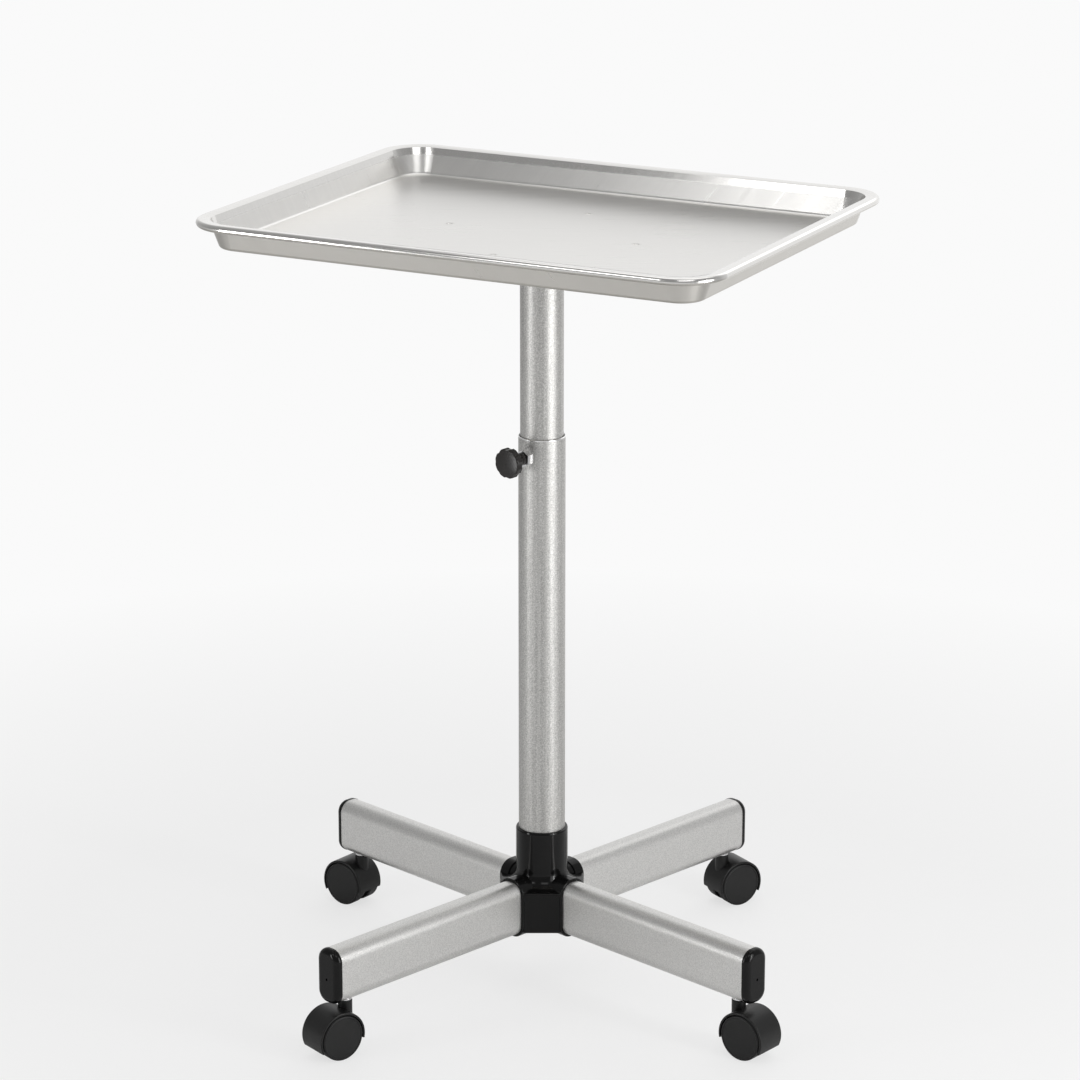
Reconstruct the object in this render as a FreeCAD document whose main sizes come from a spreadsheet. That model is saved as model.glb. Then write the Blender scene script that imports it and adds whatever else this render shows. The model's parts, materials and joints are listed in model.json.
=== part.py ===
import FreeCAD, Part
import math
import os
import re

import Sketcher

# Rolling tray cart: a stainless tray on a telescopic column, a base of four legs, and twin wheel casters.
# Frame: +Z up, X to the right, Y away from the viewer, origin on the floor under the column's axis.
# Every length is in millimetres and every angle in degrees.

SIZES = {
    # tray
    "tray_length": 480,
    "tray_width": 384,
    "tray_depth": 25,
    "tray_sheet": 0.9,
    "tray_corner": 40,
    "tray_turn": -27,
    "rim_width": 12,
    "rim_height": 6.4,
    "rim_drop": 1.0,
    "rim_lip": 7.5,
    "wall_run": 8,
    "floor_bend": 3,
    "weld_inset": 12,
    "weld_dimple": 5,
    "weld_depth": 0.3,
    # bracket under the tray
    "cross_span": 200,
    "cross_band": 26,
    "cross_sheet": 2,
    "cross_disc": 74,
    "spigot_length": 55,
    "spigot_wall": 3,
    "spigot_flange": 3,
    "spigot_flange_width": 60,
    # column
    "outer_tube": 40.6,
    "outer_tube_wall": 0.9,
    "tube_gap": 0.7,
    "tube_wall": 1.2,
    "outer_tube_top": 498,
    "tray_level": 672,
    "inner_tube_foot": 278,
    "tube_edge": 0.4,
    "foot_flange": 4,
    "foot_spigot": 18,
    # clamp
    "clamp_below_top": 16,
    "clamp_turn": 230,
    "screw_thread": 8,
    "nut_across_flats": 13,
    "nut_thickness": 6,
    "tip_gap": 0.3,
    "knob_gap": 0.8,
    "knob_width": 26.2,
    "knob_head": 7.6,
    "knob_neck": 12.4,
    "knob_neck_width": 11,
    "knob_edge": 1.6,
    "knob_dome": 0.8,
    "knob_scallop": 5,
    "knob_scallop_depth": 1.3,
    # base
    "leg_height": 48.5,
    "leg_width": 25,
    "leg_corner": 10.5,
    "leg_wall": 1.5,
    "leg_inner_gap": 5.5,
    "leg_outer_end": 250,
    "cap_thickness": 6.5,
    "cap_overhang": 0.3,
    "cap_dome": 5.2,
    "cap_plug": 24,
    "cap_plug_wall": 2,
    "cap_boss": 14,
    "cap_hole": 2.4,
    # hub
    "hub_column_depth": 29.5,
    "hub_collar_wall": 2.5,
    "hub_lip": 1.6,
    "hub_socket_wall": 1.4,
    "hub_skirt": 15.6,
    "hub_flange_length": 10.4,
    "hub_flange_wall": 2.4,
    "hub_flange_edge": 1.1,
    "hub_panel_inset": 1.3,
    "hub_panel_lift": 3.5,
    "hub_panel_drop": 7.5,
    "hub_panel_corner": 4,
    "hub_flare": 12.5,
    "hub_panel_edge": 1.5,
    "hub_panel_wall": 2.2,
    "hub_core_gap": 1.6,
    "hub_core_height": 30,
    "hub_floor": 13.5,
    "hub_recess": 26,
    "hub_recess_depth": 8,
    "fit_gap": 0.1,
    # fasteners
    "bolt_thread": 8,
    "bolt_head": 13,
    "bolt_head_height": 5.3,
    "washer_width": 22,
    "washer_thickness": 1.6,
    "insert_height": 12,
    "leg_screw_inset": 4,
    "leg_screw_head": 8,
    "leg_screw_head_height": 1.6,
    "leg_screw_thread": 4,
    "leg_screw_length": 9,
    # casters
    "caster_inset": 14,
    "stem_shank": 10,
    "stem_shank_length": 22,
    "stem_ring": 11.4,
    "stem_ring_height": 1.6,
    "stem_pin": 8,
    "stem_pin_length": 10.5,
    "grip_groove": 1,
    "grip_groove_width": 1.6,
    "grip_groove_drop": 4,
    "caster_trail": 12.2,
    "wheel_radius": 20,
    "wheel_round": 1.6,
    "wheel_inner": 3.4,
    "wheel_outer": 15,
    "wheel_wall": 2,
    "wheel_boss": 5.5,
    "wheel_rib": 1.2,
    "axle_width": 5,
    "axle_cover": 3,
    "running_gap": 0.05,
    "hood_gap": 0.8,
    "hood_wall": 1.8,
    "hood_inset": 0.4,
    "hood_front": -12,
    "hood_back": 206,
    "hood_web": 5.4,
    "hood_boss": 6.5,
    "hood_edge": 0.8,
    "neck_width": 12.3,
    "neck_clearance": 0.3,
    "neck_height": 5.5,
    "neck_depth": 9,
    "turn_front_left": 217,
    "turn_front_right": 320,
    "turn_back_left": 141,
    "turn_back_right": 32,
}

CORNERS = {"front_left": 225, "front_right": 315, "back_left": 135, "back_right": 45}

# Sizes that follow from others, and can be used by name like them.
FOLLOWING = {
    "inner_tube": "outer_tube - 2 * outer_tube_wall - 2 * tube_gap",
    "weld_reach": "cross_span / 2 - weld_inset",
    "wheel_face": "wheel_radius - wheel_round",
    "axle_half_length": "wheel_outer - axle_cover",
    "hood_half_width": "wheel_outer - hood_inset",
    "neck_top": "2 * wheel_radius + hood_gap + hood_wall + neck_height",
    "neck_foot": "2 * wheel_radius - neck_depth",
    "leg_level": "neck_top + neck_clearance + stem_ring_height",
    "leg_inner_end": "leg_width / 2 + leg_inner_gap",
    "leg_screw_reach": "leg_inner_end + leg_screw_inset",
    "caster_reach": "leg_outer_end - caster_inset",
    "hub_collar": "outer_tube + 2 * hub_collar_wall",
    "hub_reach": "hub_collar / 2 + hub_skirt",
    "hub_flange_start": "hub_reach - hub_flange_length",
    "hub_panel_top": "leg_level + leg_height - hub_panel_drop",
    "hub_column_seat": "leg_level + leg_height + hub_floor",
    "hub_top": "hub_column_seat + hub_column_depth",
}

# Levels and offsets that are written often.
LEG_TOP = "(leg_level + leg_height)"
CLAMP_LEVEL = "(outer_tube_top - clamp_below_top)"
OUTER_BORE = "(outer_tube / 2 - outer_tube_wall)"
INNER_BORE = "(inner_tube / 2 - tube_wall)"
SCREW_TIP = "(inner_tube / 2 + tip_gap)"
NUT_FACE = "(outer_tube / 2 + nut_thickness)"
KNOB_START = "(outer_tube / 2 + nut_thickness + knob_gap)"
KNOB_END = "(outer_tube / 2 + nut_thickness + knob_gap + knob_neck + knob_head)"
CROSS_UNDER = "(tray_level - cross_sheet)"
FLANGE_UNDER = "(tray_level - cross_sheet - spigot_flange)"
STEM_TOP = "(leg_level + stem_shank_length)"
GROOVE_LEVEL = "(leg_level + stem_shank_length - grip_groove_drop)"

WORD = re.compile(r"[a-z]+(?:_[a-z]+)+")
DOC = FreeCAD.newDocument("tray_cart")
SHEET = DOC.addObject("Spreadsheet::Sheet", "Sizes")
NODES = []


def fill_sheet():
    """One row for each size: its name, its value, and the name again as the cell's alias."""
    for row, (name, size) in enumerate(SIZES.items(), start=1):
        SHEET.set(f"A{row}", name)
        SHEET.set(f"B{row}", str(size))
        SHEET.setAlias(f"B{row}", name)
    DOC.recompute()


def cell(match):
    """A word of an expression as the cell it names, or as what it follows from."""
    word = match[0]
    if word in FOLLOWING:
        return f"({bound(FOLLOWING[word])})"
    return f"Sizes.{word}" if word in SIZES else word


def bound(text):
    """The expression with each size written as its cell."""
    return WORD.sub(cell, text)


def number(text):
    """What the expression comes to now."""
    return float(SHEET.evalExpression(bound(text)))


def tie(thing, name, text):
    """Binds a property to the sheet."""
    thing.setExpression(name, bound(text))


def place(thing, x="0", y="0", z="0", turn="0"):
    """Puts a sub-part at x, y, z and turns it about the vertical, all bound to the sheet."""
    thing.Placement = FreeCAD.Placement(FreeCAD.Vector(), FreeCAD.Rotation(FreeCAD.Vector(0, 0, 1), 10))
    tie(thing, "Placement.Base.x", x)
    tie(thing, "Placement.Base.y", y)
    tie(thing, "Placement.Base.z", z)
    tie(thing, "Placement.Rotation.Angle", turn)


def new_body(name):
    """A body that becomes the node of that name."""
    body = DOC.addObject("PartDesign::Body", name)
    body.Label = name
    NODES.append(body)
    return body


def origin_part(body, role):
    """One of the planes or axes of the body's own origin."""
    return next(part for part in body.Origin.OriginFeatures if part.Role == role)


def new_sketch(body, role, lift="0"):
    """An empty sketch on a plane of the body, lifted along the plane's normal."""
    sketch = body.newObject("Sketcher::SketchObject", "Sketch")
    sketch.AttachmentSupport = [(origin_part(body, role), "")]
    sketch.MapMode = "FlatFace"
    tie(sketch, "AttachmentOffset.Base.z", lift)
    return sketch


def dimension(sketch, kind, *where, size):
    """A dimension of the sketch, bound to the sheet."""
    index = sketch.addConstraint(Sketcher.Constraint(kind, *where, number(size)))
    tie(sketch, f"Constraints[{index}]", size)


def arc_between(start, end, radius):
    """The short arc from start to end. A positive radius turns left, a negative one right."""
    chord = end - start
    middle = (start + end) * 0.5
    left = FreeCAD.Vector(-chord.y, chord.x, 0).normalize()
    to_centre = math.sqrt(radius * radius - chord.Length * chord.Length / 4)
    centre = middle + left * math.copysign(to_centre, radius)
    top = centre - left * radius
    return Part.Arc(start, top, end), radius > 0


def outline(sketch, corners):
    """A closed outline. Each corner is x, y and, where an arc leaves it, the arc's radius."""
    points = [FreeCAD.Vector(number(corner[0]), number(corner[1]), 0) for corner in corners]
    first = sketch.GeometryCount
    starts = []
    for step, corner in enumerate(corners):
        start, end = points[step], points[(step + 1) % len(points)]
        if len(corner) == 2:
            sketch.addGeometry(Part.LineSegment(start, end), False)
            starts.append((1, 2))
        else:
            arc, left = arc_between(start, end, number(corner[2]))
            sketch.addGeometry(arc, False)
            starts.append((1, 2) if left else (2, 1))
    for step in range(len(corners)):
        following = (step + 1) % len(corners)
        ends = (first + step, starts[step][1], first + following, starts[following][0])
        sketch.addConstraint(Sketcher.Constraint("Coincident", *ends))
    for step, corner in enumerate(corners):
        dimension(sketch, "DistanceX", first + step, starts[step][0], size=corner[0])
        dimension(sketch, "DistanceY", first + step, starts[step][0], size=corner[1])
        if len(corner) == 3:
            dimension(sketch, "Radius", first + step, size=f"abs({corner[2]})")


def circle(sketch, radius, x="0", y="0"):
    """A circle held by its centre and radius."""
    centre = FreeCAD.Vector(number(x), number(y), 0)
    index = sketch.addGeometry(Part.Circle(centre, FreeCAD.Vector(0, 0, 1), number(radius)), False)
    dimension(sketch, "DistanceX", index, 3, size=x)
    dimension(sketch, "DistanceY", index, 3, size=y)
    dimension(sketch, "Radius", index, size=radius)


def rounded(sketch, half_x, low_y, high_y, corner):
    """A rectangle with round corners, centred on the upright axis of the sketch."""
    left, low, high, bend = f"-({half_x})", low_y, high_y, corner
    outline(
        sketch,
        [
            (f"{left} + {bend}", low),
            (f"{half_x} - {bend}", low, bend),
            (half_x, f"{low} + {bend}"),
            (half_x, f"{high} - {bend}", bend),
            (f"{half_x} - {bend}", high),
            (f"{left} + {bend}", high, bend),
            (left, f"{high} - {bend}"),
            (left, f"{low} + {bend}", bend),
        ],
    )


def hexagon(sketch, across_flats, centre_y="0"):
    """A hexagon with two upright flats."""
    reach = f"({across_flats} / sqrt(3))"
    half = f"({across_flats} / 2)"
    outline(
        sketch,
        [
            (half, f"{centre_y} - {reach} / 2"),
            (half, f"{centre_y} + {reach} / 2"),
            ("0", f"{centre_y} + {reach}"),
            (f"-{half}", f"{centre_y} + {reach} / 2"),
            (f"-{half}", f"{centre_y} - {reach} / 2"),
            ("0", f"{centre_y} - {reach}"),
        ],
    )


def pad(body, sketch, length, middle=False):
    """Pads the sketch along its normal, or to both sides of it."""
    feature = body.newObject("PartDesign::Pad", "Pad")
    feature.Profile = sketch
    feature.Midplane = middle
    tie(feature, "Length", length)
    return feature


def pocket(body, sketch, depth, reverse=False, middle=False):
    """Cuts the sketch away against its normal, or along it when reversed."""
    DOC.recompute()
    before = body.Shape.Volume
    feature = body.newObject("PartDesign::Pocket", "Pocket")
    feature.Profile = sketch
    feature.Reversed = reverse
    feature.Midplane = middle
    tie(feature, "Length", depth)
    DOC.recompute()
    if body.Shape.Volume >= before:
        raise ValueError(f"a pocket of {body.Label} cuts nothing")
    return feature


def revolve(body, sketch, role):
    """Turns the sketch all the way round an axis of the body."""
    feature = body.newObject("PartDesign::Revolution", "Revolution")
    feature.Profile = sketch
    feature.ReferenceAxis = (origin_part(body, role), [""])
    feature.Angle = 360
    return feature


def repeat_round(body, feature, role, count):
    """Repeats a feature evenly round an axis of the body."""
    pattern = body.newObject("PartDesign::PolarPattern", "PolarPattern")
    pattern.Originals = [feature]
    pattern.Axis = (origin_part(body, role), [""])
    pattern.Angle = 360
    pattern.Occurrences = count
    body.Tip = pattern
    return pattern


def soften(body, kind, size, chosen):
    """Fillets or chamfers the edges that the test picks."""
    DOC.recompute()
    tip = body.Tip
    names = [f"Edge{n}" for n, edge in enumerate(tip.Shape.Edges, start=1) if chosen(edge)]
    feature = body.newObject(f"PartDesign::{kind}", kind)
    feature.Base = (tip, names)
    tie(feature, "Radius" if kind == "Fillet" else "Size", size)
    return feature


def at_plane(axis, text):
    """A test for edges that lie whole in the plane where x, y or z has that value."""
    index = "xyz".index(axis)
    level = number(text)

    def lies_there(edge):
        return all(abs(point[index] - level) < 1e-4 for point in edge.discretize(5))

    return lies_there


def tube_body(name, outer, wall, low, high):
    """An upright tube, with its cut edges broken."""
    body = new_body(name)
    sketch = new_sketch(body, "XY_Plane", low)
    circle(sketch, f"{outer} / 2")
    circle(sketch, f"{outer} / 2 - {wall}")
    pad(body, sketch, f"{high} - {low}")
    soften(body, "Chamfer", "tube_edge", at_plane("z", high))
    return body


def curl_section(sketch):
    """Section of the tray's sheet: flat floor edge, bend, sloping wall, and a rim rolled over and under."""
    edge = "(tray_length / 2)"
    rise = "(tray_depth - rim_drop)"
    slope = f"atan({rise} / wall_run)"
    foot = f"({edge} - rim_width - wall_run)"
    run = f"(floor_bend * tan({slope} / 2))"
    outer_run = f"((floor_bend + tray_sheet) * tan({slope} / 2))"
    shift = f"(tray_sheet / sin({slope}))"
    bead = "(rim_height / 2)"
    reach = f"(rim_width - {bead})"
    crown = f"(({reach} * {reach} + rim_drop * rim_drop) / (2 * rim_drop))"
    apex = f"({edge} - {bead})"
    under = "(tray_depth - tray_sheet)"
    foot_out = f"({foot} + {shift} - tray_sheet / tan({slope}))"
    crown_in = f"({crown} - tray_sheet)"
    start = f"({foot} + {shift} + wall_run)"
    drop_in = f"({crown_in} - sqrt({crown_in} * {crown_in} - ({apex} - {start}) * ({apex} - {start})))"
    outline(
        sketch,
        [
            (f"{foot} - {outer_run} - 2 * floor_bend", "tray_sheet"),
            (f"{foot} - {run}", "tray_sheet", "floor_bend"),
            (f"{foot} + {run} * cos({slope})", f"tray_sheet + {run} * sin({slope})"),
            (f"{edge} - rim_width", rise, f"-{crown}"),
            (apex, "tray_depth", f"-{bead}"),
            (edge, f"tray_depth - {bead}", f"-{bead}"),
            (apex, "tray_depth - rim_height"),
            (f"{edge} - rim_lip", "tray_depth - rim_height"),
            (f"{edge} - rim_lip", "tray_depth - rim_height + tray_sheet"),
            (apex, "tray_depth - rim_height + tray_sheet", f"{bead} - tray_sheet"),
            (f"{edge} - tray_sheet", f"tray_depth - {bead}", f"{bead} - tray_sheet"),
            (apex, under, crown_in),
            (start, f"{under} - {drop_in}"),
            (
                f"{foot_out} + {outer_run} * cos({slope})",
                f"{outer_run} * sin({slope})",
                "-(floor_bend + tray_sheet)",
            ),
            (f"{foot_out} - {outer_run}", "0"),
            (f"{foot} - {outer_run} - 2 * floor_bend", "0"),
        ],
    )


def rim_path(sketch):
    """The outermost line of the tray, which starts half way along its right side."""
    half_x, half_y, bend = "(tray_length / 2)", "(tray_width / 2)", "tray_corner"
    outline(
        sketch,
        [
            (half_x, "0"),
            (half_x, f"{half_y} - {bend}", bend),
            (f"{half_x} - {bend}", half_y),
            (f"-{half_x} + {bend}", half_y, bend),
            (f"-{half_x}", f"{half_y} - {bend}"),
            (f"-{half_x}", f"-{half_y} + {bend}", bend),
            (f"-{half_x} + {bend}", f"-{half_y}"),
            (f"{half_x} - {bend}", f"-{half_y}", bend),
            (half_x, f"-{half_y} + {bend}"),
        ],
    )


def make_tray():
    """The tray: its sheet section carried round a rounded rectangle, a flat floor, and four weld dimples."""
    body = new_body("tray")
    path = new_sketch(body, "XY_Plane")
    rim_path(path)
    section = new_sketch(body, "XZ_Plane")
    curl_section(section)
    DOC.recompute()
    sweep = body.newObject("PartDesign::AdditivePipe", "AdditivePipe")
    sweep.Profile = section
    sweep.Spine = (path, [f"Edge{n}" for n in range(1, len(path.Shape.Edges) + 1)])
    floor = new_sketch(body, "XY_Plane")
    inset = "(rim_width + wall_run + 2 * floor_bend)"
    half_y = f"(tray_width / 2 - {inset})"
    rounded(floor, f"(tray_length / 2 - {inset})", f"-{half_y}", half_y, f"(tray_corner - {inset})")
    pad(body, floor, "tray_sheet")
    dimple = new_sketch(body, "XY_Plane", "tray_sheet")
    circle(dimple, "weld_dimple / 2", "weld_reach")
    dent = pocket(body, dimple, "weld_depth")
    repeat_round(body, dent, "Z_Axis", 4)
    place(body, z="tray_level", turn="tray_turn")


def make_tray_cross():
    """The flat steel cross that is welded under the tray, with a disc at its middle."""
    body = new_body("tray_cross")
    half_span, half_band = "cross_span / 2", "cross_band / 2"
    sketch = new_sketch(body, "XY_Plane")
    rounded(sketch, half_span, f"-{half_band}", half_band, "cross_band / 4")
    arm = pad(body, sketch, "cross_sheet")
    repeat_round(body, arm, "Z_Axis", 4)
    middle = new_sketch(body, "XY_Plane")
    circle(middle, "cross_disc / 2")
    pad(body, middle, "cross_sheet")
    place(body, z=CROSS_UNDER, turn="tray_turn")


def make_spigot():
    """The flanged stub that carries the tray on the inner tube."""
    body = new_body("tray_spigot")
    radius = f"({INNER_BORE} - running_gap)"
    sketch = new_sketch(body, "XZ_Plane")
    low, high = f"{FLANGE_UNDER} - spigot_length", CROSS_UNDER
    outline(
        sketch,
        [
            (f"{radius} - spigot_wall", low),
            (radius, low),
            (radius, FLANGE_UNDER),
            ("spigot_flange_width / 2", FLANGE_UNDER),
            ("spigot_flange_width / 2", high),
            (f"{radius} - spigot_wall", high),
        ],
    )
    revolve(body, sketch, "Z_Axis")
    place(body, turn="tray_turn")


def make_inner_tube():
    """The sliding tube of the column."""
    tube = tube_body("inner_tube", "inner_tube", "tube_wall", "inner_tube_foot", FLANGE_UNDER)
    place(tube, turn="tray_turn")


def make_foot_plug():
    """The plastic plug in the foot of the sliding tube, which keeps it central in the outer tube."""
    body = new_body("tube_foot_plug")
    spigot = f"({INNER_BORE} - running_gap)"
    guide = f"({OUTER_BORE} - fit_gap)"
    sketch = new_sketch(body, "XZ_Plane")
    top = "inner_tube_foot - running_gap"
    outline(
        sketch,
        [
            ("screw_thread", f"{top} - foot_flange"),
            (f"{guide} - tube_edge", f"{top} - foot_flange"),
            (guide, f"{top} - foot_flange + tube_edge"),
            (guide, top),
            (spigot, top),
            (spigot, f"{top} + foot_spigot - tube_wall"),
            (f"{spigot} - tube_wall", f"{top} + foot_spigot"),
            (f"{spigot} - 2 * tube_wall", f"{top} + foot_spigot"),
            (f"{spigot} - 2 * tube_wall", f"{top} + tube_wall"),
            ("screw_thread", f"{top} + tube_wall"),
        ],
    )
    revolve(body, sketch, "Z_Axis")
    place(body)


def make_outer_tube():
    """The fixed tube of the column, with the hole that the clamp screw passes through."""
    tube = tube_body("outer_tube", "outer_tube", "outer_tube_wall", "hub_column_seat", "outer_tube_top")
    hole = new_sketch(tube, "YZ_Plane")
    circle(hole, "screw_thread / 2 + fit_gap", "0", CLAMP_LEVEL)
    pocket(tube, hole, "outer_tube", reverse=True)
    place(tube, turn="clamp_turn")


def make_column_insert():
    """The threaded steel plug in the foot of the outer tube, which the hub bolt pulls down."""
    body = new_body("column_insert")
    sketch = new_sketch(body, "XY_Plane", "hub_column_seat")
    circle(sketch, f"{OUTER_BORE} - running_gap")
    circle(sketch, "bolt_thread / 2 + running_gap")
    pad(body, sketch, "insert_height")
    place(body)


def make_hub():
    """The moulded hub: a collar that flares into four panels, and four flanged sockets for the legs."""
    body = new_body("base_hub")
    foot = "(leg_level - hub_socket_wall)"
    collar = new_sketch(body, "XZ_Plane")
    outline(
        collar,
        [
            ("0", foot),
            ("hub_collar / 2", foot),
            ("hub_collar / 2", "hub_top - hub_lip"),
            ("hub_collar / 2 - hub_lip / 4", "hub_top - hub_lip / 4"),
            ("hub_collar / 2 - hub_lip", "hub_top"),
            ("0", "hub_top"),
        ],
    )
    revolve(body, collar, "Z_Axis")
    add_panels(body)
    socket = add_socket(body, "hub_socket_wall", "hub_flange_start", "0")
    repeat_round(body, socket, "Z_Axis", 4)
    flange = add_socket(body, "hub_flange_wall", "hub_reach - hub_flange_start", "hub_flange_start")
    repeat_round(body, flange, "Z_Axis", 4)
    end = "hub_reach"
    tests = [at_plane("x", end), at_plane("y", end), at_plane("x", f"-{end}"), at_plane("y", f"-{end}")]
    soften(body, "Fillet", "hub_flange_edge", lambda edge: any(test(edge) for test in tests))
    mouth = new_sketch(body, "YZ_Plane", "leg_inner_end")
    leg_section(mouth, "fit_gap")
    cut = pocket(body, mouth, "hub_reach - leg_inner_end + fit_gap", reverse=True)
    repeat_round(body, cut, "Z_Axis", 4)
    bore = new_sketch(body, "XY_Plane", "hub_top")
    circle(bore, "outer_tube / 2 + fit_gap")
    pocket(body, bore, "hub_top - hub_column_seat")
    recess = new_sketch(body, "XY_Plane", foot)
    circle(recess, "hub_recess / 2")
    pocket(body, recess, "hub_recess_depth", reverse=True)
    shank = new_sketch(body, "XY_Plane", "hub_column_seat")
    circle(shank, "bolt_thread / 2 + fit_gap")
    pocket(body, shank, "hub_column_seat - leg_level")
    cut_screw_holes(body)
    place(body, turn="45")


def add_panels(body):
    """The hub's eight sided skirt: a cored panel between each two legs, with a flare up to the collar."""
    side = "(leg_width / 2 + hub_flange_wall)"
    reach = "(hub_reach - hub_panel_inset)"
    foot = "(leg_level + hub_panel_lift)"
    skirt = new_sketch(body, "XY_Plane", foot)
    outline(
        skirt,
        [
            (reach, f"-{side}"),
            (reach, side),
            (side, reach),
            (f"-{side}", reach),
            (f"-{reach}", side),
            (f"-{reach}", f"-{side}"),
            (f"-{side}", f"-{reach}"),
            (side, f"-{reach}"),
        ],
    )
    pad(body, skirt, f"hub_panel_top - {foot}")
    collar = number("hub_collar / 2")

    def on_corner(edge):
        first, last = edge.firstVertex().Point, edge.lastVertex().Point
        upright = abs(first.x - last.x) < 1e-4 and abs(first.y - last.y) < 1e-4
        return upright and math.hypot(first.x, first.y) > collar + 1

    soften(body, "Fillet", "hub_panel_corner", on_corner)
    top = at_plane("z", "hub_panel_top")

    def on_collar(edge):
        close = all(abs(math.hypot(point.x, point.y) - collar) < 1e-3 for point in edge.discretize(5))
        return close and top(edge)

    soften(body, "Fillet", "hub_flare", on_collar)
    rims = [at_plane("z", "hub_panel_top"), at_plane("z", foot)]
    flare = number("hub_flare")

    def on_panel(edge):
        far = all(math.hypot(point.x, point.y) > collar + flare + 0.1 for point in edge.discretize(5))
        return far and any(rim(edge) for rim in rims)

    soften(body, "Fillet", "hub_panel_edge", on_panel)
    low = f"({side} + hub_core_gap / 2)"
    high = f"({reach} + {side} - hub_panel_wall * sqrt(2) - {low})"
    core = "(hub_collar / 2 + hub_core_gap)"
    near = f"sqrt({core} * {core} - {low} * {low})"
    room = new_sketch(body, "XY_Plane", foot)
    outline(room, [(near, low), (high, low), (low, high), (low, near)])
    cut = pocket(body, room, "hub_core_height", reverse=True)
    repeat_round(body, cut, "Z_Axis", 4)


def add_socket(body, wall, length, start):
    """One oblong socket round a leg, as thick as its wall, from start outwards."""
    sketch = new_sketch(body, "YZ_Plane", start)
    leg_section(sketch, wall)
    return pad(body, sketch, length)


def cut_screw_holes(body):
    """The four holes for the screws that hold the legs from below."""
    hole = new_sketch(body, "XY_Plane", "leg_level")
    circle(hole, "leg_screw_thread / 2 + fit_gap", "leg_screw_reach")
    cut = pocket(body, hole, "2 * hub_flange_wall")
    repeat_round(body, cut, "Z_Axis", 4)


def leg_section(sketch, grown):
    """The flat oval of the leg, grown all round by a wall or a gap."""
    low, high = f"leg_level - {grown}", f"{LEG_TOP} + {grown}"
    rounded(sketch, f"(leg_width / 2 + {grown})", low, high, f"(leg_corner + {grown})")


def make_leg(corner):
    """One flat oval leg tube, with holes below for its screw and its caster stem."""
    body = new_body(f"leg_{corner}")
    section = new_sketch(body, "YZ_Plane", "leg_inner_end + fit_gap")
    leg_section(section, "0")
    leg_section(section, "-leg_wall")
    pad(body, section, "leg_outer_end - leg_inner_end - fit_gap")
    screw_hole = new_sketch(body, "XY_Plane", "leg_level + leg_corner")
    circle(screw_hole, "leg_screw_thread / 2 + running_gap", "leg_screw_reach")
    pocket(body, screw_hole, "leg_corner")
    stem_hole = new_sketch(body, "XY_Plane", "leg_level + leg_corner")
    circle(stem_hole, "stem_shank / 2 + fit_gap", "caster_reach")
    pocket(body, stem_hole, "leg_corner")
    place(body, turn=str(CORNERS[corner]))


def make_leg_cap(corner):
    """The domed end cap of a leg. Its plug inside the tube holds the caster's stem in a boss."""
    body = new_body(f"leg_cap_{corner}")
    face = "(leg_outer_end + cap_thickness)"
    cover = new_sketch(body, "YZ_Plane", "leg_outer_end")
    leg_section(cover, "cap_overhang")
    pad(body, cover, "cap_thickness")
    soften(body, "Fillet", "cap_dome", at_plane("x", face))
    plug = new_sketch(body, "YZ_Plane", "leg_outer_end - cap_plug")
    leg_section(plug, "-(leg_wall + running_gap)")
    leg_section(plug, "-(leg_wall + running_gap + cap_plug_wall)")
    pad(body, plug, "cap_plug")
    boss = new_sketch(body, "XY_Plane", "leg_level + leg_wall + cap_plug_wall")
    circle(boss, "cap_boss / 2", "caster_reach")
    pad(body, boss, "stem_shank_length")
    bore = new_sketch(body, "XY_Plane", f"{STEM_TOP} + running_gap")
    circle(bore, "stem_shank / 2 + running_gap", "caster_reach")
    pocket(body, bore, "stem_shank_length")
    hole = new_sketch(body, "YZ_Plane", face)
    circle(hole, "cap_hole / 2", "0", "leg_level + leg_height / 2 - cap_hole")
    pocket(body, hole, "cap_thickness / 2")
    place(body, turn=str(CORNERS[corner]))


def make_hub_fasteners():
    """The bolt and washer under the hub."""
    bolt = new_body("hub_bolt")
    seat = "(leg_level - hub_socket_wall + hub_recess_depth)"
    head_top = f"({seat} - washer_thickness)"
    head = new_sketch(bolt, "XY_Plane", f"{head_top} - bolt_head_height")
    hexagon(head, "bolt_head")
    pad(bolt, head, "bolt_head_height")
    shank = new_sketch(bolt, "XY_Plane", f"{head_top} - bolt_head_height / 2")
    circle(shank, "bolt_thread / 2")
    pad(bolt, shank, f"hub_column_seat + insert_height - {head_top} + bolt_head_height / 2")
    place(bolt)
    washer = new_body("hub_washer")
    ring = new_sketch(washer, "XY_Plane", head_top)
    circle(ring, "washer_width / 2")
    circle(ring, "bolt_thread / 2 + fit_gap")
    pad(washer, ring, "washer_thickness")
    place(washer)


def group(name, members):
    """Separate solids that share one node."""
    compound = DOC.addObject("Part::Compound", name)
    compound.Label = name
    compound.Links = members
    NODES.append(compound)


def cylinder(radius, height):
    """A plain cylinder bound to the sheet, for a member of a group."""
    solid = DOC.addObject("Part::Cylinder", "Cylinder")
    tie(solid, "Radius", radius)
    tie(solid, "Height", height)
    return solid


def on_diagonal(thing, reach, level, angle):
    """Puts a group's member at that reach along a leg, at that level."""
    place(thing, f"{reach} * cos({angle})", f"{reach} * sin({angle})", level, str(angle))


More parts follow.
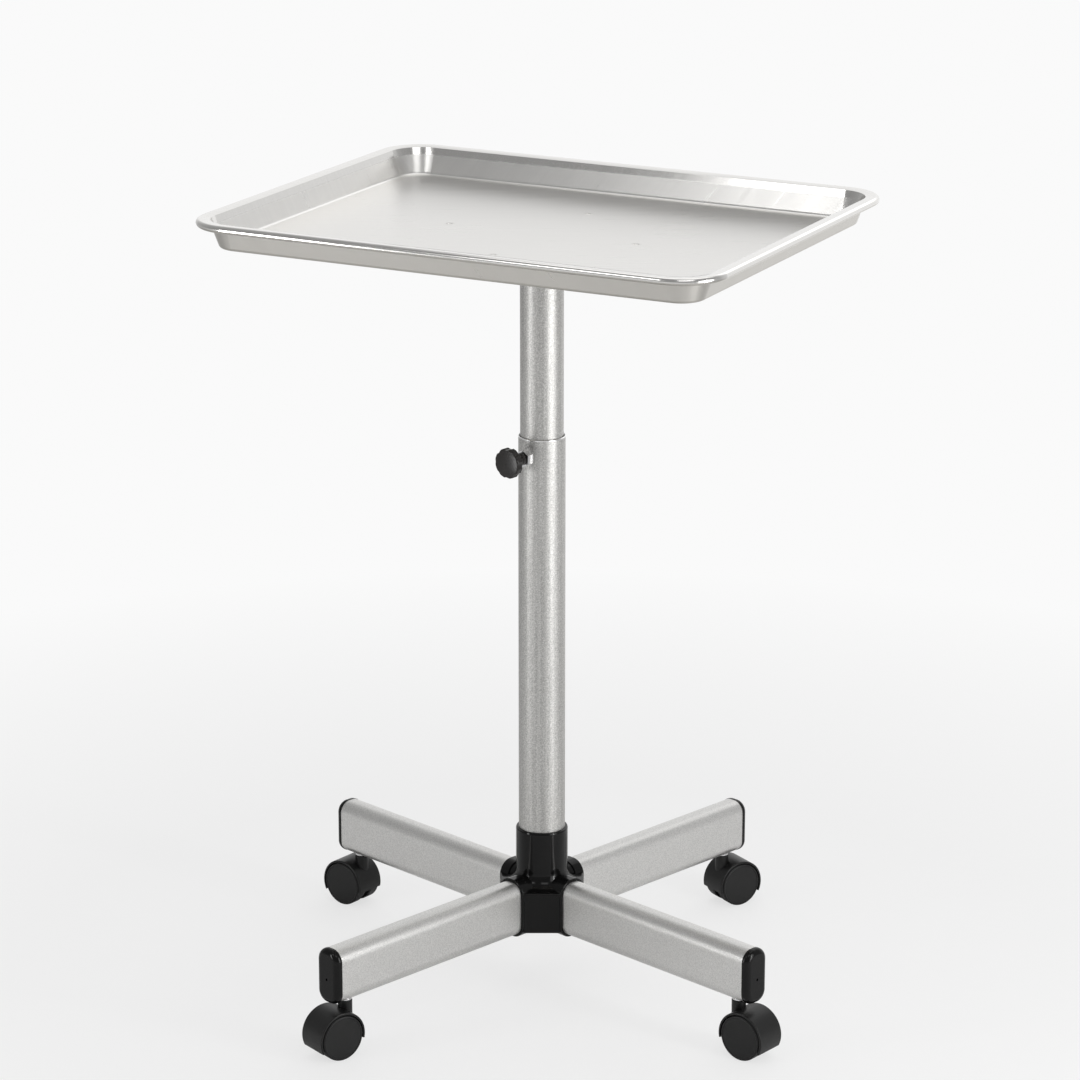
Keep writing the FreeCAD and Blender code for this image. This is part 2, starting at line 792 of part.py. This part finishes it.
def make_leg_screws():
    """The pan head screws that hold the legs in the hub."""
    members = []
    foot = "leg_level - hub_socket_wall"
    for angle in CORNERS.values():
        head = cylinder("leg_screw_head / 2", "leg_screw_head_height")
        on_diagonal(head, "leg_screw_reach", f"{foot} - leg_screw_head_height", angle)
        shank = cylinder("leg_screw_thread / 2", "leg_screw_length")
        on_diagonal(shank, "leg_screw_reach", f"{foot} - leg_screw_head_height / 2", angle)
        screw = DOC.addObject("Part::MultiFuse", "Screw")
        screw.Shapes = [head, shank]
        members.append(screw)
    group("leg_screws", members)


def make_grip_rings():
    """The spring rings that hold the caster stems in their sockets."""
    members = []
    for angle in CORNERS.values():
        whole = cylinder("stem_shank / 2", "grip_groove_width - 2 * running_gap")
        on_diagonal(whole, "caster_reach", f"{GROOVE_LEVEL} + running_gap", angle)
        bore = cylinder("stem_shank / 2 - grip_groove + running_gap", "grip_groove_width")
        on_diagonal(bore, "caster_reach", GROOVE_LEVEL, angle)
        ring = DOC.addObject("Part::Cut", "Ring")
        ring.Base = whole
        ring.Tool = bore
        members.append(ring)
    group("stem_grip_rings", members)


def make_stem(corner):
    """A caster's stem: its shank in the leg, a bright ring below the leg, and the pin the hood turns on."""
    body = new_body(f"caster_stem_{corner}")
    ring = "(leg_level - stem_ring_height)"
    pin = f"({ring} - stem_pin_length)"
    edge = "tube_edge"
    sketch = new_sketch(body, "XZ_Plane")
    outline(
        sketch,
        [
            ("0", pin),
            (f"stem_pin / 2 - {edge}", pin),
            ("stem_pin / 2", f"{pin} + {edge}"),
            ("stem_pin / 2", ring),
            (f"stem_ring / 2 - {edge}", ring),
            ("stem_ring / 2", f"{ring} + {edge}"),
            ("stem_ring / 2", f"leg_level - {edge}"),
            (f"stem_ring / 2 - {edge}", "leg_level"),
            ("stem_shank / 2", "leg_level"),
            ("stem_shank / 2", GROOVE_LEVEL),
            ("stem_shank / 2 - grip_groove", GROOVE_LEVEL),
            ("stem_shank / 2 - grip_groove", f"{GROOVE_LEVEL} + grip_groove_width"),
            ("stem_shank / 2", f"{GROOVE_LEVEL} + grip_groove_width"),
            ("stem_shank / 2", f"{STEM_TOP} - {edge}"),
            (f"stem_shank / 2 - {edge}", STEM_TOP),
            ("0", STEM_TOP),
        ],
    )
    revolve(body, sketch, "Z_Axis")
    on_diagonal(body, "caster_reach", "0", CORNERS[corner])


def at_caster(body, corner, trail="0"):
    """Puts a caster's piece on its stem's axis, turned as the caster stands, or out at its axle."""
    angle, turn = CORNERS[corner], f"turn_{corner}"
    x = f"caster_reach * cos({angle}) + {trail} * cos({turn})"
    y = f"caster_reach * sin({angle}) + {trail} * sin({turn})"
    place(body, x, y, "0", turn)


def hood_profile(sketch, radius_out, radius_in):
    """A ring sector round the axle, from the hood's front angle over the top to its back angle."""
    points = []
    for radius, angle in [
        (radius_out, "hood_front"),
        (radius_out, "(hood_front + hood_back) / 2"),
        (radius_out, "hood_back"),
        (radius_in, "hood_back"),
        (radius_in, "(hood_front + hood_back) / 2"),
        (radius_in, "hood_front"),
    ]:
        x = f"caster_trail - {radius} * cos({angle})"
        points.append([x, f"wheel_radius + {radius} * sin({angle})"])
    for index, turn in ((0, f"-({radius_out})"), (1, f"-({radius_out})"), (3, radius_in), (4, radius_in)):
        points[index].append(turn)
    outline(sketch, [tuple(point) for point in points])


def make_hood(corner):
    """A caster's hood: a guard over both wheels, a web between them, an axle boss and the swivel neck."""
    body = new_body(f"caster_hood_{corner}")
    inside = "(wheel_radius + hood_gap)"
    outside = f"({inside} + hood_wall)"
    guard = new_sketch(body, "XZ_Plane")
    hood_profile(guard, outside, inside)
    pad(body, guard, "2 * hood_half_width", middle=True)
    outer_radius = number(outside)
    sides = [at_plane("y", "hood_half_width"), at_plane("y", "-hood_half_width")]

    def on_outer_arc(edge):
        round_edge = edge.Curve.TypeId == "Part::GeomCircle" and abs(edge.Curve.Radius - outer_radius) < 1e-3
        return round_edge and any(side(edge) for side in sides)

    soften(body, "Fillet", "hood_edge", on_outer_arc)
    web = new_sketch(body, "XZ_Plane")
    hood_profile(web, f"({inside} + hood_wall / 2)", "axle_width")
    pad(body, web, "hood_web", middle=True)
    boss = new_sketch(body, "XZ_Plane")
    circle(boss, "hood_boss", "caster_trail", "wheel_radius")
    pad(body, boss, "hood_web", middle=True)
    top = "neck_top"
    neck = new_sketch(body, "XZ_Plane")
    radius = "neck_width / 2"
    outline(
        neck,
        [
            ("0", "neck_foot"),
            (radius, "neck_foot"),
            (radius, f"{top} - tube_edge"),
            (f"{radius} - tube_edge", top),
            ("0", top),
        ],
    )
    revolve(body, neck, "Z_Axis")
    cut_wheel_room(body, inside)
    hole = new_sketch(body, "XY_Plane", top)
    circle(hole, "stem_pin / 2 + running_gap")
    pocket(body, hole, "stem_pin_length")
    axle_hole = new_sketch(body, "XZ_Plane")
    circle(axle_hole, "axle_width / 2", "caster_trail", "wheel_radius")
    pocket(body, axle_hole, "2 * hood_half_width", middle=True)
    at_caster(body, corner)


def cut_wheel_room(body, radius):
    """Clears the two round spaces that the wheels turn in, one on each side of the web."""
    for side in (1, -1):
        room = new_sketch(body, "XZ_Plane", f"{side} * hood_web / 2")
        circle(room, radius, "caster_trail", "wheel_radius")
        pocket(body, room, "hood_half_width", reverse=side > 0)


def make_axle(corner):
    """The steel pin that carries both wheels of a caster."""
    body = new_body(f"caster_axle_{corner}")
    sketch = new_sketch(body, "XZ_Plane")
    circle(sketch, "axle_width / 2", "0", "wheel_radius")
    pad(body, sketch, "2 * axle_half_length", middle=True)
    at_caster(body, corner, "caster_trail")


def make_wheel(corner, side):
    """A dished wheel: a crowned tread, a flat cover face with a rim line, six ribs and a blind hub."""
    name = "inner" if side > 0 else "outer"
    body = new_body(f"wheel_{corner}_{name}")
    sketch = new_sketch(body, "YZ_Plane", "0")
    tread, face, inner, outer = "wheel_radius", "wheel_face", "wheel_inner", "wheel_outer"
    round_off = f"({tread} - {face})"
    bore = "(axle_width / 2 + running_gap)"
    points = [
        (bore, inner),
        ("wheel_boss", inner),
        ("wheel_boss", f"{outer} - 2 * wheel_wall"),
        (f"{face} - wheel_wall", f"{outer} - 2 * wheel_wall"),
        (f"{face} - wheel_wall", inner),
        (f"{tread} - {round_off} / 3", inner),
        (tread, f"{inner} + {round_off}"),
        (tread, f"{outer} - {round_off}", round_off),
        (face, outer),
        (f"{face} - wheel_wall / 4", f"{outer} - wheel_wall / 4"),
        ("0", f"{outer} - wheel_wall / 4"),
        ("0", "axle_half_length + running_gap"),
        (bore, "axle_half_length + running_gap"),
    ]
    corners = []
    for radius, width, *bend in points:
        turned = [f"-({part})" for part in bend] if side > 0 else bend
        corners.append((f"{side} * ({width})", radius, *turned))
    outline(sketch, corners)
    revolve(body, sketch, "Y_Axis")
    rib = new_sketch(body, "XZ_Plane", f"-{side} * ({outer} - 2 * wheel_wall)")
    half = "wheel_rib / 2"
    low, high = f"wheel_boss - {half}", f"{face} - wheel_wall + {half}"
    outline(rib, [(f"-{half}", low), (half, low), (half, high), (f"-{half}", high)])
    web = pad(body, rib, f"{outer} - 2 * wheel_wall - {inner} - wheel_wall")
    web.Reversed = side < 0
    repeat_round(body, web, "Y_Axis", 6)
    at_caster(body, corner, "caster_trail")
    tie(body, "Placement.Base.z", "wheel_radius")


def make_clamp():
    """The nut on the outer tube, the clamp screw through it, and the lobed knob."""
    nut = new_body("clamp_nut")
    prism = new_sketch(nut, "YZ_Plane", "inner_tube / 2")
    hexagon(prism, "nut_across_flats", CLAMP_LEVEL)
    pad(nut, prism, f"{NUT_FACE} - inner_tube / 2")
    saddle = new_sketch(nut, "XY_Plane", CLAMP_LEVEL)
    circle(saddle, "outer_tube / 2 + running_gap")
    pocket(nut, saddle, "2 * nut_across_flats", middle=True)
    thread = new_sketch(nut, "YZ_Plane", NUT_FACE)
    circle(thread, "screw_thread / 2 + running_gap", "0", CLAMP_LEVEL)
    pocket(nut, thread, "2 * nut_thickness")
    place(nut, turn="clamp_turn")
    screw = new_body("clamp_screw")
    shaft = new_sketch(screw, "YZ_Plane", SCREW_TIP)
    circle(shaft, "screw_thread / 2", "0", CLAMP_LEVEL)
    pad(screw, shaft, f"{KNOB_END} - knob_head / 2 - {SCREW_TIP}")
    soften(screw, "Chamfer", "screw_thread / 8", at_plane("x", SCREW_TIP))
    place(screw, turn="clamp_turn")
    make_knob()


def make_knob():
    """The lobed knob: a head with a domed face and scallops round it, on a neck that tapers to the nut."""
    body = new_body("clamp_knob")
    head_start = f"({KNOB_START} + knob_neck)"
    rim = "(knob_width / 2)"
    face = f"({rim} - knob_edge)"
    dome = f"(({face} * {face} + knob_dome * knob_dome) / (2 * knob_dome))"
    head = new_sketch(body, "XY_Plane")
    outline(
        head,
        [
            (KNOB_START, "0"),
            (KNOB_START, "knob_neck_width / 2"),
            (f"{KNOB_START} + knob_neck / 4", "knob_neck_width / 2"),
            (head_start, f"{rim} - 2 * knob_scallop_depth"),
            (f"{head_start} + knob_edge", rim),
            (f"{KNOB_END} - knob_edge", rim, "-knob_edge"),
            (KNOB_END, face, f"-{dome}"),
            (f"{KNOB_END} + knob_dome", "0"),
        ],
    )
    revolve(body, head, "X_Axis")
    scallop = new_sketch(body, "YZ_Plane", head_start)
    circle(scallop, "knob_scallop", f"{rim} + knob_scallop - knob_scallop_depth", "0")
    cut = pocket(body, scallop, "knob_head + knob_dome", reverse=True)
    repeat_round(body, cut, "X_Axis", 8)
    bore = new_sketch(body, "YZ_Plane", KNOB_START)
    circle(bore, "screw_thread / 2 + running_gap")
    pocket(body, bore, f"{KNOB_END} - knob_head / 2 - {KNOB_START} + running_gap", reverse=True)
    place(body, z=CLAMP_LEVEL, turn="clamp_turn")


def make_all():
    """Builds every sub-part."""
    fill_sheet()
    make_tray()
    make_tray_cross()
    make_spigot()
    make_inner_tube()
    make_foot_plug()
    make_outer_tube()
    make_column_insert()
    make_hub()
    make_hub_fasteners()
    make_leg_screws()
    make_grip_rings()
    make_clamp()
    for corner in CORNERS:
        make_leg(corner)
        make_leg_cap(corner)
        make_stem(corner)
        make_hood(corner)
        make_axle(corner)
        make_wheel(corner, 1)
        make_wheel(corner, -1)
    DOC.recompute()


def check_all():
    """Stops if any object failed or any sub-part's shape isn't sound."""
    for thing in DOC.Objects:
        if "Invalid" in thing.State or "Error" in thing.State:
            raise ValueError(f"{thing.Label} ({thing.Name}) failed: {thing.State}")
    for node in NODES:
        if node.Shape.isNull() or not node.Shape.isValid() or not node.Shape.Solids:
            raise ValueError(f"{node.Label} has no sound shape")


def export_all():
    """Writes each sub-part to its own STEP file."""
    os.makedirs("parts", exist_ok=True)
    for node in NODES:
        node.Shape.exportStep(f"parts/{node.Label}.step")
        box = node.Shape.BoundBox
        solids = len(node.Shape.Solids)
        print(f"{node.Label}: {solids} solid, {box.XLength:.1f} x {box.YLength:.1f} x {box.ZLength:.1f}")


make_all()
check_all()
export_all()
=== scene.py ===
import json
import math

import bpy
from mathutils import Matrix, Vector


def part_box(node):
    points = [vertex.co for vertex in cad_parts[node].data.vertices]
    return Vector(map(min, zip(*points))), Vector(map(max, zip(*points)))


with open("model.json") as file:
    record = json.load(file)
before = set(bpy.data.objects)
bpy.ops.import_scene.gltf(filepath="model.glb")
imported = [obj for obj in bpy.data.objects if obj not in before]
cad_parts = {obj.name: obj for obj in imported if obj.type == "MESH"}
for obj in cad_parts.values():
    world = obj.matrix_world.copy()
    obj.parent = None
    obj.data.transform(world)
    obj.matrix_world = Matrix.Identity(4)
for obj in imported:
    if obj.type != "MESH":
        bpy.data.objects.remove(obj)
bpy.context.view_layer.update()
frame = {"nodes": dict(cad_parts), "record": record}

# Rolling tray cart. Every length is in metres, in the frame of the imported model: +Z up, X to the right,
# Y away from the viewer, origin on the floor under the column.

TRAY_TURN = math.radians(-27)
WELD_REACH = 0.088

BACKGROUND = (0.955, 0.955, 0.955)
FLOOR_TONE = (0.90, 0.90, 0.90)
# How much of the room's glow the camera sees in the floor near the object, so how light the shadow is.
SHADOW_LIFT = 0.72

# The room's pale side, behind the object, and the room's tones as pairs of a place and a grey. Place 0 is
# away from the pale side and place 1 is towards it.
PALE_SIDE = (0.34, 0.94, 0.0)
BEHIND_OBJECT = ((0.86, 0.0), (0.95, 1.0))
ROOM_WALLS = ((0.0, 0.30), (0.2, 0.28), (0.5, 0.34), (0.72, 0.42), (0.88, 0.68), (0.94, 0.91))
ROOM_FLOOR = ((0.0, 0.68), (0.2, 0.56), (0.5, 0.42), (0.72, 0.45), (0.88, 0.68), (0.94, 0.91))

# Name, place, the point it looks at, width and height, and power in watts.
LAMPS = (
    ("right_softbox", (1.02, -0.80, 0.50), (0, 0, 0.48), (0.70, 0.98), 4.4),
    ("right_strip", (0.98, -0.77, 0.50), (0, 0, 0.48), (0.08, 0.98), 3.6),
    ("left_strip", (-1.15, -0.61, 0.37), (0, 0, 0.37), (0.20, 0.72), 2.8),
    ("left_high", (-0.80, -0.84, 1.25), (0.18, 0.0, 0.69), (0.34, 0.36), 1.0),
    ("front_high", (0.30, -1.25, 1.62), (0, 0, 0.69), (0.80, 0.50), 2.2),
    ("back_high", (0.95, 1.30, 1.65), (0, 0, 0.69), (1.20, 0.90), 1.6),
    ("top_softbox", (0.2, 0.4, 2.6), (0, 0, 0.3), (2.0, 1.6), 8),
)


class Socket:
    """An output of a node that can be used in Python sums."""

    def __init__(self, nodes, link):
        self.nodes = nodes
        self.link = link

    def __add__(self, other):
        return self.nodes.maths("ADD", self, other)

    def __sub__(self, other):
        return self.nodes.maths("SUBTRACT", self, other)

    def __rsub__(self, other):
        return self.nodes.maths("SUBTRACT", other, self)

    def __mul__(self, other):
        return self.nodes.maths("MULTIPLY", self, other)

    def __pow__(self, other):
        return self.nodes.maths("POWER", self, other)

    __radd__ = __add__
    __rmul__ = __mul__


class Nodes:
    """Builds the nodes of a material or of the world."""

    def __init__(self, tree):
        self.tree = tree

    def node(self, kind, settings=None, values=None, output=0):
        """Makes a node, sets its settings, then its sockets by order or by name, and gives one output."""
        made = self.tree.nodes.new(kind)
        for name, value in (settings or {}).items():
            if name == "stops":
                self.set_stops(made.color_ramp, value)
            else:
                setattr(made, name, value)
        pairs = values.items() if isinstance(values, dict) else enumerate(values or [])
        for name, value in pairs:
            self.feed(made.inputs[name], value)
        return Socket(self, made.outputs[output])

    def feed(self, target, value):
        """Links a socket to an input, or writes a number or a colour on it."""
        if isinstance(value, Socket):
            self.tree.links.new(value.link, target)
        elif isinstance(value, tuple) and len(value) == 3 and target.type == "RGBA":
            target.default_value = (*value, 1)
        else:
            target.default_value = value

    def set_stops(self, ramp, stops):
        """Writes a ramp's stops: pairs of a place and a grey."""
        while len(ramp.elements) < len(stops):
            ramp.elements.new(1)
        for element, (place, tone) in zip(ramp.elements, stops):
            element.position = place
            element.color = (tone, tone, tone, 1)

    def ramp(self, value, *stops):
        """A value passed through a ramp of greys."""
        return self.node("ShaderNodeValToRGB", {"stops": stops}, [value])

    def maths(self, operation, *values):
        """A sum of numbers."""
        return self.node("ShaderNodeMath", {"operation": operation}, values)

    def vector(self, operation, *values, output="Vector"):
        """A sum of vectors: output is Vector, or Value where the result is a number."""
        return self.node("ShaderNodeVectorMath", {"operation": operation}, values, output)

    def spot(self):
        """The place of a point of the model, in metres."""
        return self.node("ShaderNodeTexCoord", output="Object")

    def axis(self, vector, name):
        """One coordinate of a vector."""
        return self.node("ShaderNodeSeparateXYZ", values=[vector], output=name)

    def stretch(self, scale=(1, 1, 1), turn=0.0):
        """The place of a point, turned about the vertical and stretched."""
        values = {"Vector": self.spot(), "Rotation": (0, 0, turn), "Scale": scale}
        return self.node("ShaderNodeMapping", values=values)

    def noise(self, where, scale, detail=2.0, roughness=0.5):
        """Soft noise between 0 and 1."""
        values = {"Vector": where, "Scale": scale, "Detail": detail, "Roughness": roughness}
        return self.node("ShaderNodeTexNoise", values=values)

    def mix(self, share, low, high):
        """A colour between two colours."""
        return self.node("ShaderNodeMix", {"data_type": "RGBA"}, {0: share, 6: low, 7: high}, output=2)

    def ray(self, kind):
        """1 where the ray is of this kind, and 0 elsewhere."""
        return self.node("ShaderNodeLightPath", output=f"Is {kind} Ray")


class Finish(Nodes):
    """A surface finish: one material with a principled shader."""

    def __init__(self, name, color, metallic, roughness):
        self.material = bpy.data.materials.new(name)
        self.material.use_nodes = True
        super().__init__(self.material.node_tree)
        self.inputs = self.tree.nodes["Principled BSDF"].inputs
        self.set(**{"Base Color": color, "Metallic": metallic, "Roughness": roughness})

    def set(self, **values):
        """Writes or links sockets of the shader by name."""
        for name, value in values.items():
            self.feed(self.inputs[name], value)

    def bump(self, height, distance, strength):
        """Feeds a height into the shader's normal."""
        values = {"Strength": strength, "Distance": distance, "Height": height}
        self.set(Normal=self.node("ShaderNodeBump", values=values))

    def coat(self, weight, roughness):
        """A constant clear coat."""
        self.set(**{"Coat Weight": weight, "Coat Roughness": roughness})


def brighter(color, share):
    """A colour made lighter or darker by a share."""
    return tuple(min(1.0, part * share) for part in color)


def weld_marks(finish):
    """Painted highlight and height of the four weld dimples: rings at equal reaches along the tray's two
    axes.
    """
    along, across = (finish.axis(finish.stretch(turn=-TRAY_TURN), name) for name in "XY")

    def ring(first, second):
        away = finish.maths("ABSOLUTE", first) - WELD_REACH
        return (away * away + second * second) ** 0.5

    # The ramps run from a dimple's centre to this far off it.
    ramp_length = 0.010
    near = finish.maths("MINIMUM", ring(along, across), ring(across, along)) * (1 / ramp_length)
    # Painted highlight: 1 over a dimple's middle and 0 beyond its edge.
    painted_highlight = finish.ramp(near, (0.0, 1.0), (0.24, 1.0), (0.36, 0.0))
    height = finish.ramp(near, (0.0, 0.0), (0.12, 0.1), (0.27, 1.0), (0.33, 0.8), (0.45, 0.55))
    return painted_highlight, height


def brushed_stainless(color=(0.84, 0.83, 0.81), painted_shade_color=(0.55, 0.53, 0.49)):
    """Stainless sheet of the tray: drawn lines along its length, a smoother rim, painted shade where the
    sheet faces down and painted highlights on the weld dimples.
    """
    finish = Finish("stainless", color, metallic=1.0, roughness=0.22)
    lines = finish.noise(finish.stretch((1, 22, 1), -TRAY_TURN), scale=14, detail=4, roughness=0.65)
    clouds = finish.noise(finish.stretch(), scale=6)
    low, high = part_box("tray")
    up = (finish.axis(finish.spot(), "Z") - low[2]) * (1 / (high[2] - low[2]))
    rim = finish.ramp(up, (0.70, 0), (0.76, 1))
    rough = 0.20 + lines * 0.14 + clouds * 0.06
    finish.set(Roughness=rough * (1 - 0.5 * rim))
    # 0 where the sheet faces down, 0.5 on an upright wall and 1 where it faces up.
    facing = finish.axis(finish.node("ShaderNodeTexCoord", output="Normal"), "Z") * 0.5 + 0.5
    # Painted shade: the sheet is given a darker colour where it faces down.
    painted_shade = finish.ramp(facing, (0.30, 1.0), (0.42, 0.0))
    inside_color = finish.mix(lines, brighter(color, 0.95), brighter(color, 1.05))
    marks, dent = weld_marks(finish)
    # Painted highlight: the middles of the weld dimples are coloured lighter than the sheet.
    inside_color = finish.mix(marks, inside_color, brighter(color, 1.16))
    finish.set(**{"Base Color": finish.mix(painted_shade, inside_color, painted_shade_color)})
    finish.bump(lines * 0.02 + dent, distance=0.0008, strength=0.8)
    return finish.material


def sparkle_paint(color=(0.56, 0.555, 0.54), bare_color=(0.93, 0.93, 0.93)):
    """Silver paint of the column: metal flakes as bright and dark specks, and a bare cut edge on top."""
    finish = Finish("column_paint", color, metallic=0.9, roughness=0.42)
    where = finish.stretch()
    flakes = finish.noise(where, scale=1000, roughness=0.7)
    grain = finish.noise(where, scale=300, roughness=0.7)
    streaks = finish.noise(finish.stretch((1, 1, 0.02)), scale=420)
    specks = finish.ramp(flakes * 0.8 + streaks * 0.2, (0.36, 0.0), (0.5, 0.45), (0.64, 1.0))
    # The cut edge is the fixed tube's top millimetre, outside a radius of 19.6 mm.
    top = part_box("outer_tube")[1][2]
    height_span, radius_span = 0.005, 0.050
    cut = finish.ramp((finish.axis(where, "Z") - top) * (1 / height_span) + 0.5, (0.24, 0.0), (0.30, 1.0))
    radius = finish.vector("LENGTH", finish.vector("MULTIPLY", where, (1, 1, 0)), output="Value")
    cut = cut * finish.ramp(radius * (1 / radius_span), (0.388, 0.0), (0.392, 1.0))
    paint = finish.mix(specks, brighter(color, 0.70), brighter(color, 1.30))
    finish.set(**{"Base Color": finish.mix(cut, paint, bare_color), "Metallic": 0.9 + cut * 0.1})
    finish.set(Roughness=0.40 + grain * 0.14 - cut * 0.26)
    finish.bump(flakes * 0.6 + grain * 0.4, distance=0.00008, strength=0.6)
    return finish.material


def satin_silver(color=(0.74, 0.735, 0.72)):
    """Satin silver of the legs, with a faint grain."""
    finish = Finish("leg_satin", color, metallic=0.9, roughness=0.33)
    grain = finish.noise(finish.stretch(), scale=1000, roughness=0.65)
    clouds = finish.noise(finish.stretch(), scale=14)
    specks = finish.ramp(grain, (0.34, 0.0), (0.66, 1.0))
    finish.set(**{"Base Color": finish.mix(specks, brighter(color, 0.86), brighter(color, 1.14))})
    finish.set(Roughness=0.32 + grain * 0.10 + clouds * 0.05)
    finish.bump(grain, distance=0.00003, strength=0.45)
    finish.coat(weight=0.1, roughness=0.2)
    return finish.material


def black_moulding(name, tone, roughness, gloss, grain_scale, grain_depth):
    """Black plastic: a near black colour, small changes of gloss and a fine moulded grain."""
    finish = Finish(name, tone, metallic=0.0, roughness=roughness)
    finish.set(**{"Specular IOR Level": gloss})
    grain = finish.noise(finish.stretch(), grain_scale, detail=3, roughness=0.6)
    clouds = finish.noise(finish.stretch(), scale=60)
    finish.set(Roughness=roughness - 0.04 + clouds * 0.08)
    finish.set(**{"Base Color": finish.mix(clouds, brighter(tone, 0.8), brighter(tone, 1.25))})
    finish.bump(grain, grain_depth, strength=0.6)
    return finish.material


def bright_metal(name, tone, roughness):
    """Plated steel: bright, with faint machining marks."""
    finish = Finish(name, tone, metallic=1.0, roughness=roughness)
    marks = finish.noise(finish.stretch((1, 1, 6)), scale=300)
    finish.set(Roughness=roughness - 0.02 + marks * 0.06)
    finish.set(**{"Base Color": finish.mix(marks, brighter(tone, 0.95), brighter(tone, 1.04))})
    finish.bump(marks, distance=0.00001, strength=0.3)
    return finish.material


FINISHES = {
    "stainless": brushed_stainless(),
    "steel": bright_metal("zinc_steel", (0.58, 0.58, 0.57), 0.32),
    "column_paint": sparkle_paint(),
    "leg_satin": satin_silver(),
    "black_gloss": black_moulding("black_gloss", (0.004, 0.004, 0.004), 0.12, 0.25, 700, 0.00001),
    "black_satin": black_moulding("black_satin", (0.008, 0.008, 0.008), 0.36, 0.35, 1600, 0.00003),
    "wheel_black": black_moulding("wheel_black", (0.010, 0.010, 0.010), 0.44, 0.35, 2200, 0.00004),
    "bright_chrome": bright_metal("bright_chrome", (0.86, 0.86, 0.87), 0.08),
}

# The knob has this finish in place of its slot's.
KNOB = black_moulding("knob_black", (0.015, 0.013, 0.012), 0.24, 0.45, 900, 0.00002)


def paint_nodes():
    """Gives each node of the model the finish of its material slot."""
    slots = {part["node"]: part["material_slot"] for part in frame["record"]["subparts"]}
    for name, node in frame["nodes"].items():
        node.data.materials.clear()
        node.data.materials.append(KNOB if name == "clamp_knob" else FINISHES[slots[name]])


def add_area(name, place, aim, size, power):
    """A softbox that looks at a point."""
    light = bpy.data.lights.new(name, "AREA")
    light.shape = "RECTANGLE"
    light.size, light.size_y = size
    light.energy = power
    lamp = bpy.data.objects.new(name, light)
    lamp.location = place
    lamp.visible_camera = False
    lamp.rotation_euler = (Vector(aim) - Vector(place)).to_track_quat("-Z", "Y").to_euler()
    bpy.context.scene.collection.objects.link(lamp)


def room_tone(nodes, way, stops):
    """Colour of the room along a direction.

    A camera ray sees the plain background all round. A glossy or a transmission ray sees it behind the
    object only. Elsewhere, and for every other ray, the room has its own tones.
    """
    place = nodes.vector("DOT_PRODUCT", way, PALE_SIDE, output="Value") * 0.5 + 0.5
    camera, glossy, through = (nodes.ray(kind) for kind in ("Camera", "Glossy", "Transmission"))
    share = camera + (glossy + through) * nodes.ramp(place, *BEHIND_OBJECT)
    return nodes.mix(share, nodes.ramp(place, *stops), BACKGROUND)


def build_floor():
    """A pale floor that keeps the object's shadow, and far out runs into the room and the background."""
    side = 14.0
    corners = [(-side, -side, 0), (side, -side, 0), (side, side, 0), (-side, side, 0)]
    mesh = bpy.data.meshes.new("studio_floor")
    mesh.from_pydata(corners, [], [(0, 1, 2, 3)])
    floor = bpy.data.objects.new("studio_floor", mesh)
    bpy.context.scene.collection.objects.link(floor)
    paint = Finish("floor_paint", FLOOR_TONE, metallic=0.0, roughness=0.6)
    where = paint.spot()
    grain = paint.noise(paint.stretch(), scale=30)
    paint.set(**{"Base Color": paint.mix(grain, brighter(FLOOR_TONE, 0.99), brighter(FLOOR_TONE, 1.01))})
    paint.set(**{"Specular IOR Level": 0.2})
    # The floor runs into the room between 0.48 m and 1.2 m from the column.
    radius, radius_span = paint.vector("LENGTH", where, output="Value"), 4.0
    away = paint.ramp(radius * (1 / radius_span), (0.12, 0.0), (0.30, 1.0))
    tone = room_tone(paint, paint.vector("NORMALIZE", where), ROOM_FLOOR)
    glow = paint.node("ShaderNodeEmission", values={"Color": tone, "Strength": 1.0})
    share = away + SHADOW_LIFT * paint.ray("Camera") * (1 - away)
    surface = Socket(paint, paint.tree.nodes["Principled BSDF"].outputs[0])
    output = paint.tree.nodes["Material Output"].inputs["Surface"]
    paint.feed(output, paint.node("ShaderNodeMixShader", values=[share, surface, glow]))
    mesh.materials.append(paint.material)


def build_world():
    """The room all round, and a plain pale background to the camera."""
    world = bpy.data.worlds.new("studio")
    world.use_nodes = True
    bpy.context.scene.world = world
    room = Nodes(world.node_tree)
    way = room.node("ShaderNodeTexCoord", output="Generated")
    room.feed(world.node_tree.nodes["Background"].inputs["Color"], room_tone(room, way, ROOM_WALLS))


def add_camera():
    """The photograph's view: a long lens a little above the tray."""
    distance, height, aside = 3.3, 1.412, -0.00166
    pitch = math.radians(16.99)
    focal_pixels, frame_pixels, sensor = 4006.5, 1080.0, 36.0
    data = bpy.data.cameras.new("camera")
    data.sensor_width = sensor
    data.lens = focal_pixels / frame_pixels * sensor
    data.clip_end = 60
    camera = bpy.data.objects.new("camera", data)
    camera.location = (aside, -distance, height)
    camera.rotation_euler = (math.pi / 2 - pitch, 0, 0)
    bpy.context.scene.collection.objects.link(camera)
    bpy.context.scene.camera = camera


paint_nodes()
build_floor()
build_world()
for lamp_row in LAMPS:
    add_area(*lamp_row)
add_camera()
bpy.context.scene.view_settings.view_transform = "Standard"
